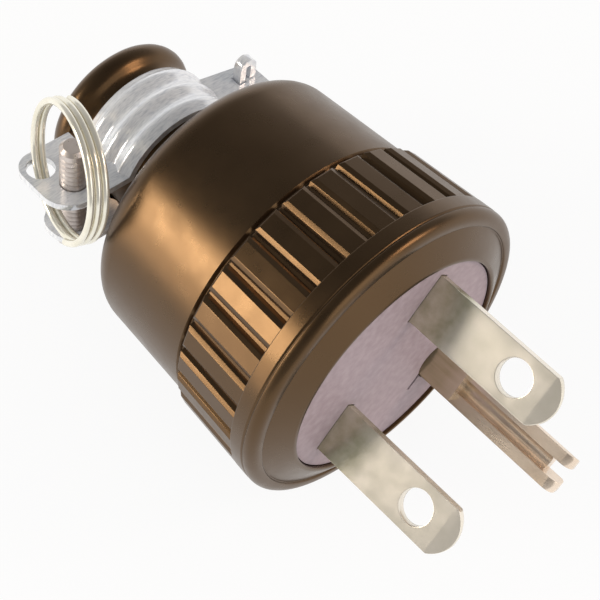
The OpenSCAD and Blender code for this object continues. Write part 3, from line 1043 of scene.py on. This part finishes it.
@dataclass
class HiddenScrews:
    """Terminal screws behind the disc, which keep their CAD shape."""

    brass: tuple[str, ...] = ("left_terminal_screw", "right_terminal_screw")
    green: tuple[str, ...] = ("earth_terminal_screw",)

    def paint(self, brass: bpy.types.Material, green: bpy.types.Material) -> None:
        """Gives the screws their finishes.

        Args:
            brass: Finish of the blades' screws.
            green: Finish of the earth screw.
        """
        for names, material in ((self.brass, brass), (self.green, green)):
            for name in names:
                mesh = frame["nodes"][name].data
                mesh.materials.clear()
                mesh.materials.append(material)


@dataclass(frozen=True)
class Lamp:
    """A soft square lamp that faces the plug, with its way and distance from it in metres."""

    name: str
    way: tuple[float, float, float]
    distance: float
    size: float
    watts: float
    colour: Colour

    def hang(self) -> None:
        """Adds the lamp to the scene."""
        data = bpy.data.lights.new(self.name, "AREA")
        data.size = self.size
        data.energy = self.watts
        data.color = self.colour
        lamp = bpy.data.objects.new(self.name, data)
        way = Vector(self.way).normalized()
        lamp.location = way * self.distance
        lamp.rotation_mode = "QUATERNION"
        lamp.rotation_quaternion = (-way).to_track_quat("-Z", "Y")
        bpy.context.scene.collection.objects.link(lamp)


@dataclass
class Studio:
    """Pale floor, soft light and the photo's camera."""

    floor_size: float = 6.0
    focal_pixels: float = 1600.0
    image_pixels: float = 600.0
    sensor: float = 36.0
    contact_turn: float = 52.0
    right: tuple[float, float, float] = (0.6712, 0.5373, -0.5107)
    down: tuple[float, float, float] = (0.6245, -0.7811, -0.0011)
    ahead: tuple[float, float, float] = (-0.3995, -0.3181, -0.8598)
    offset: tuple[float, float, float] = (9.591, 6.657, 163.796)
    near: float = 0.005
    floor_grey: float = 0.85
    floor_white: float = 0.9
    ambient: float = 0.63
    sky: tuple[tuple[float, float], ...] = (
        (0.0, 1.0), (0.07, 0.95), (0.18, 0.28), (0.32, 0.36), (0.52, 0.26), (0.77, 0.14), (1.0, 0.12),
    )
    lamps: tuple[Lamp, ...] = (
        Lamp("key", (-0.60, -0.69, 0.40), 0.6, 0.2, 1.4, (1.0, 0.92, 0.80)),
        Lamp("side_fill", (-0.55, -0.83, 0.03), 0.6, 0.25, 0.6, (1.0, 0.86, 0.68)),
        Lamp("front_fill", (0.9, 0.15, 0.45), 0.7, 0.5, 1.0, (1.0, 0.98, 0.97)),
        Lamp("lip_glint", (0.52, 0.64, 0.53), 0.7, 0.2, 1.1, (1.0, 0.78, 0.62)),
    )

    def own_axes(self) -> Matrix:
        """Works out the axes in which the camera was fitted.

        Returns:
            The turn from the plug's own axes to forward, along the blades and away from the pin.
        """
        angle = math.radians(self.contact_turn)
        along, across = math.cos(angle), math.sin(angle)
        return Matrix(((0, 0, 1), (along, across, 0), (-across, along, 0)))

    def camera(self, laid: LaidFrame) -> bpy.types.Object:
        """Places the photo's camera.

        Args:
            laid: Frame in which the plug lies.

        Returns:
            The camera.
        """
        fitted = Matrix((self.right, self.down, self.ahead))
        rows = fitted @ self.own_axes() @ laid.turn().inverted()
        place = -(rows.transposed() @ Vector(self.offset)) * MM
        axes = Matrix((Vector(rows[0]), -Vector(rows[1]), -Vector(rows[2]))).transposed()
        data = bpy.data.cameras.new("photo_camera")
        data.sensor_width = self.sensor
        data.lens = self.sensor * self.focal_pixels / self.image_pixels
        data.clip_start = self.near
        camera = bpy.data.objects.new("photo_camera", data)
        camera.matrix_world = Matrix.Translation(place) @ axes.to_4x4()
        bpy.context.scene.collection.objects.link(camera)
        bpy.context.scene.camera = camera
        return camera

    def floor(self, height: float) -> bpy.types.Object:
        """Lays a pale floor that reads as white and keeps a soft shadow.

        Args:
            height: Height of the floor.

        Returns:
            The floor.
        """
        bpy.ops.object.select_all(action="DESELECT")
        bpy.ops.mesh.primitive_plane_add(size=self.floor_size, location=(0, 0, height))
        floor = bpy.context.active_object
        floor.name = "floor"
        material = bpy.data.materials.new("pale_floor")
        material.use_nodes = True
        nodes, links = material.node_tree.nodes, material.node_tree.links
        nodes.clear()
        share = nodes.new("ShaderNodeMath")
        share.operation = "MULTIPLY"
        share.inputs[1].default_value = self.floor_white
        links.new(seen_rays(nodes, links), share.inputs[0])
        matt = nodes.new("ShaderNodeBsdfDiffuse")
        matt.inputs["Color"].default_value = (*[self.floor_grey] * 3, 1)
        white = nodes.new("ShaderNodeEmission")
        mix = nodes.new("ShaderNodeMixShader")
        links.new(share.outputs[0], mix.inputs[0])
        links.new(matt.outputs[0], mix.inputs[1])
        links.new(white.outputs[0], mix.inputs[2])
        out = nodes.new("ShaderNodeOutputMaterial")
        links.new(mix.outputs[0], out.inputs["Surface"])
        floor.data.materials.append(material)
        floor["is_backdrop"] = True
        return floor

    def world(self) -> None:
        """Surrounds the scene with a studio that is white at the horizon and darker overhead."""
        world = bpy.data.worlds.new("studio")
        bpy.context.scene.world = world
        world.use_nodes = True
        nodes, links = world.node_tree.nodes, world.node_tree.links
        place = nodes.new("ShaderNodeTexCoord")
        split = nodes.new("ShaderNodeSeparateXYZ")
        links.new(place.outputs["Generated"], split.inputs["Vector"])
        ramp = nodes.new("ShaderNodeValToRGB")
        while len(ramp.color_ramp.elements) < len(self.sky):
            ramp.color_ramp.elements.new(0.5)
        for element, (height, level) in zip(ramp.color_ramp.elements, self.sky):
            element.position = height
            element.color = (*[level] * 3, 1)
        links.new(split.outputs["Z"], ramp.inputs["Fac"])
        soft, seen = nodes["Background"], nodes.new("ShaderNodeBackground")
        soft.inputs["Color"].default_value = (*[self.ambient] * 3, 1)
        links.new(ramp.outputs["Color"], seen.inputs["Color"])
        mix = nodes.new("ShaderNodeMixShader")
        links.new(seen_rays(nodes, links), mix.inputs[0])
        links.new(soft.outputs[0], mix.inputs[1])
        links.new(seen.outputs[0], mix.inputs[2])
        links.new(mix.outputs[0], nodes["World Output"].inputs["Surface"])

    def light(self) -> None:
        """Sets the studio and its lamps."""
        self.world()
        for lamp in self.lamps:
            lamp.hang()
        bpy.context.scene.view_settings.view_transform = "Standard"


def build_plug(laid: LaidFrame) -> list[bpy.types.Object]:
    """Builds every new piece of the plug.

    Args:
        laid: Frame in which the plug lies.

    Returns:
        The finished pieces.
    """
    nickel, zinc, fibre = NICKEL.make(laid), ZINC.make(laid), FibreFinish().make(laid)
    pieces = [
        RubberMoulding().build(laid),
        EdgedPiece("insulating_disc", "face_disc", Slot.FIBRE, edge=0.08).build(fibre),
        EdgedPiece("left_blade", "left_blade_plated", Slot.PLATED).build(nickel),
        EdgedPiece("right_blade", "right_blade_plated", Slot.PLATED).build(nickel),
        EdgedPiece("earth_pin", "earth_pin_plated", Slot.PLATED).build(PIN_BRASS.make(laid)),
        EdgedPiece("upper_clamp_strap", "upper_strap_pressed", Slot.ZINC).build(zinc),
        EdgedPiece("lower_clamp_strap", "lower_strap_pressed", Slot.ZINC).build(zinc),
        ClampScrew().build(laid),
        SplitRing().build(laid),
    ]
    HiddenScrews().paint(nickel, GREEN_LACQUER.make(laid))
    return pieces


def main() -> None:
    """Builds the plug, the studio and the camera, and reports each piece."""
    logging.basicConfig(level=logging.INFO, format="%(name)s: %(message)s")
    cad_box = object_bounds()
    laid = LaidFrame.from_record(frame["record"])
    for piece in build_plug(laid):
        LOG.info("%s: %d faces", piece.name, len(piece.data.polygons))
    studio = Studio()
    studio.floor(cad_box[0].z)
    studio.light()
    studio.camera(laid)


if __name__ == "__main__":
    main()
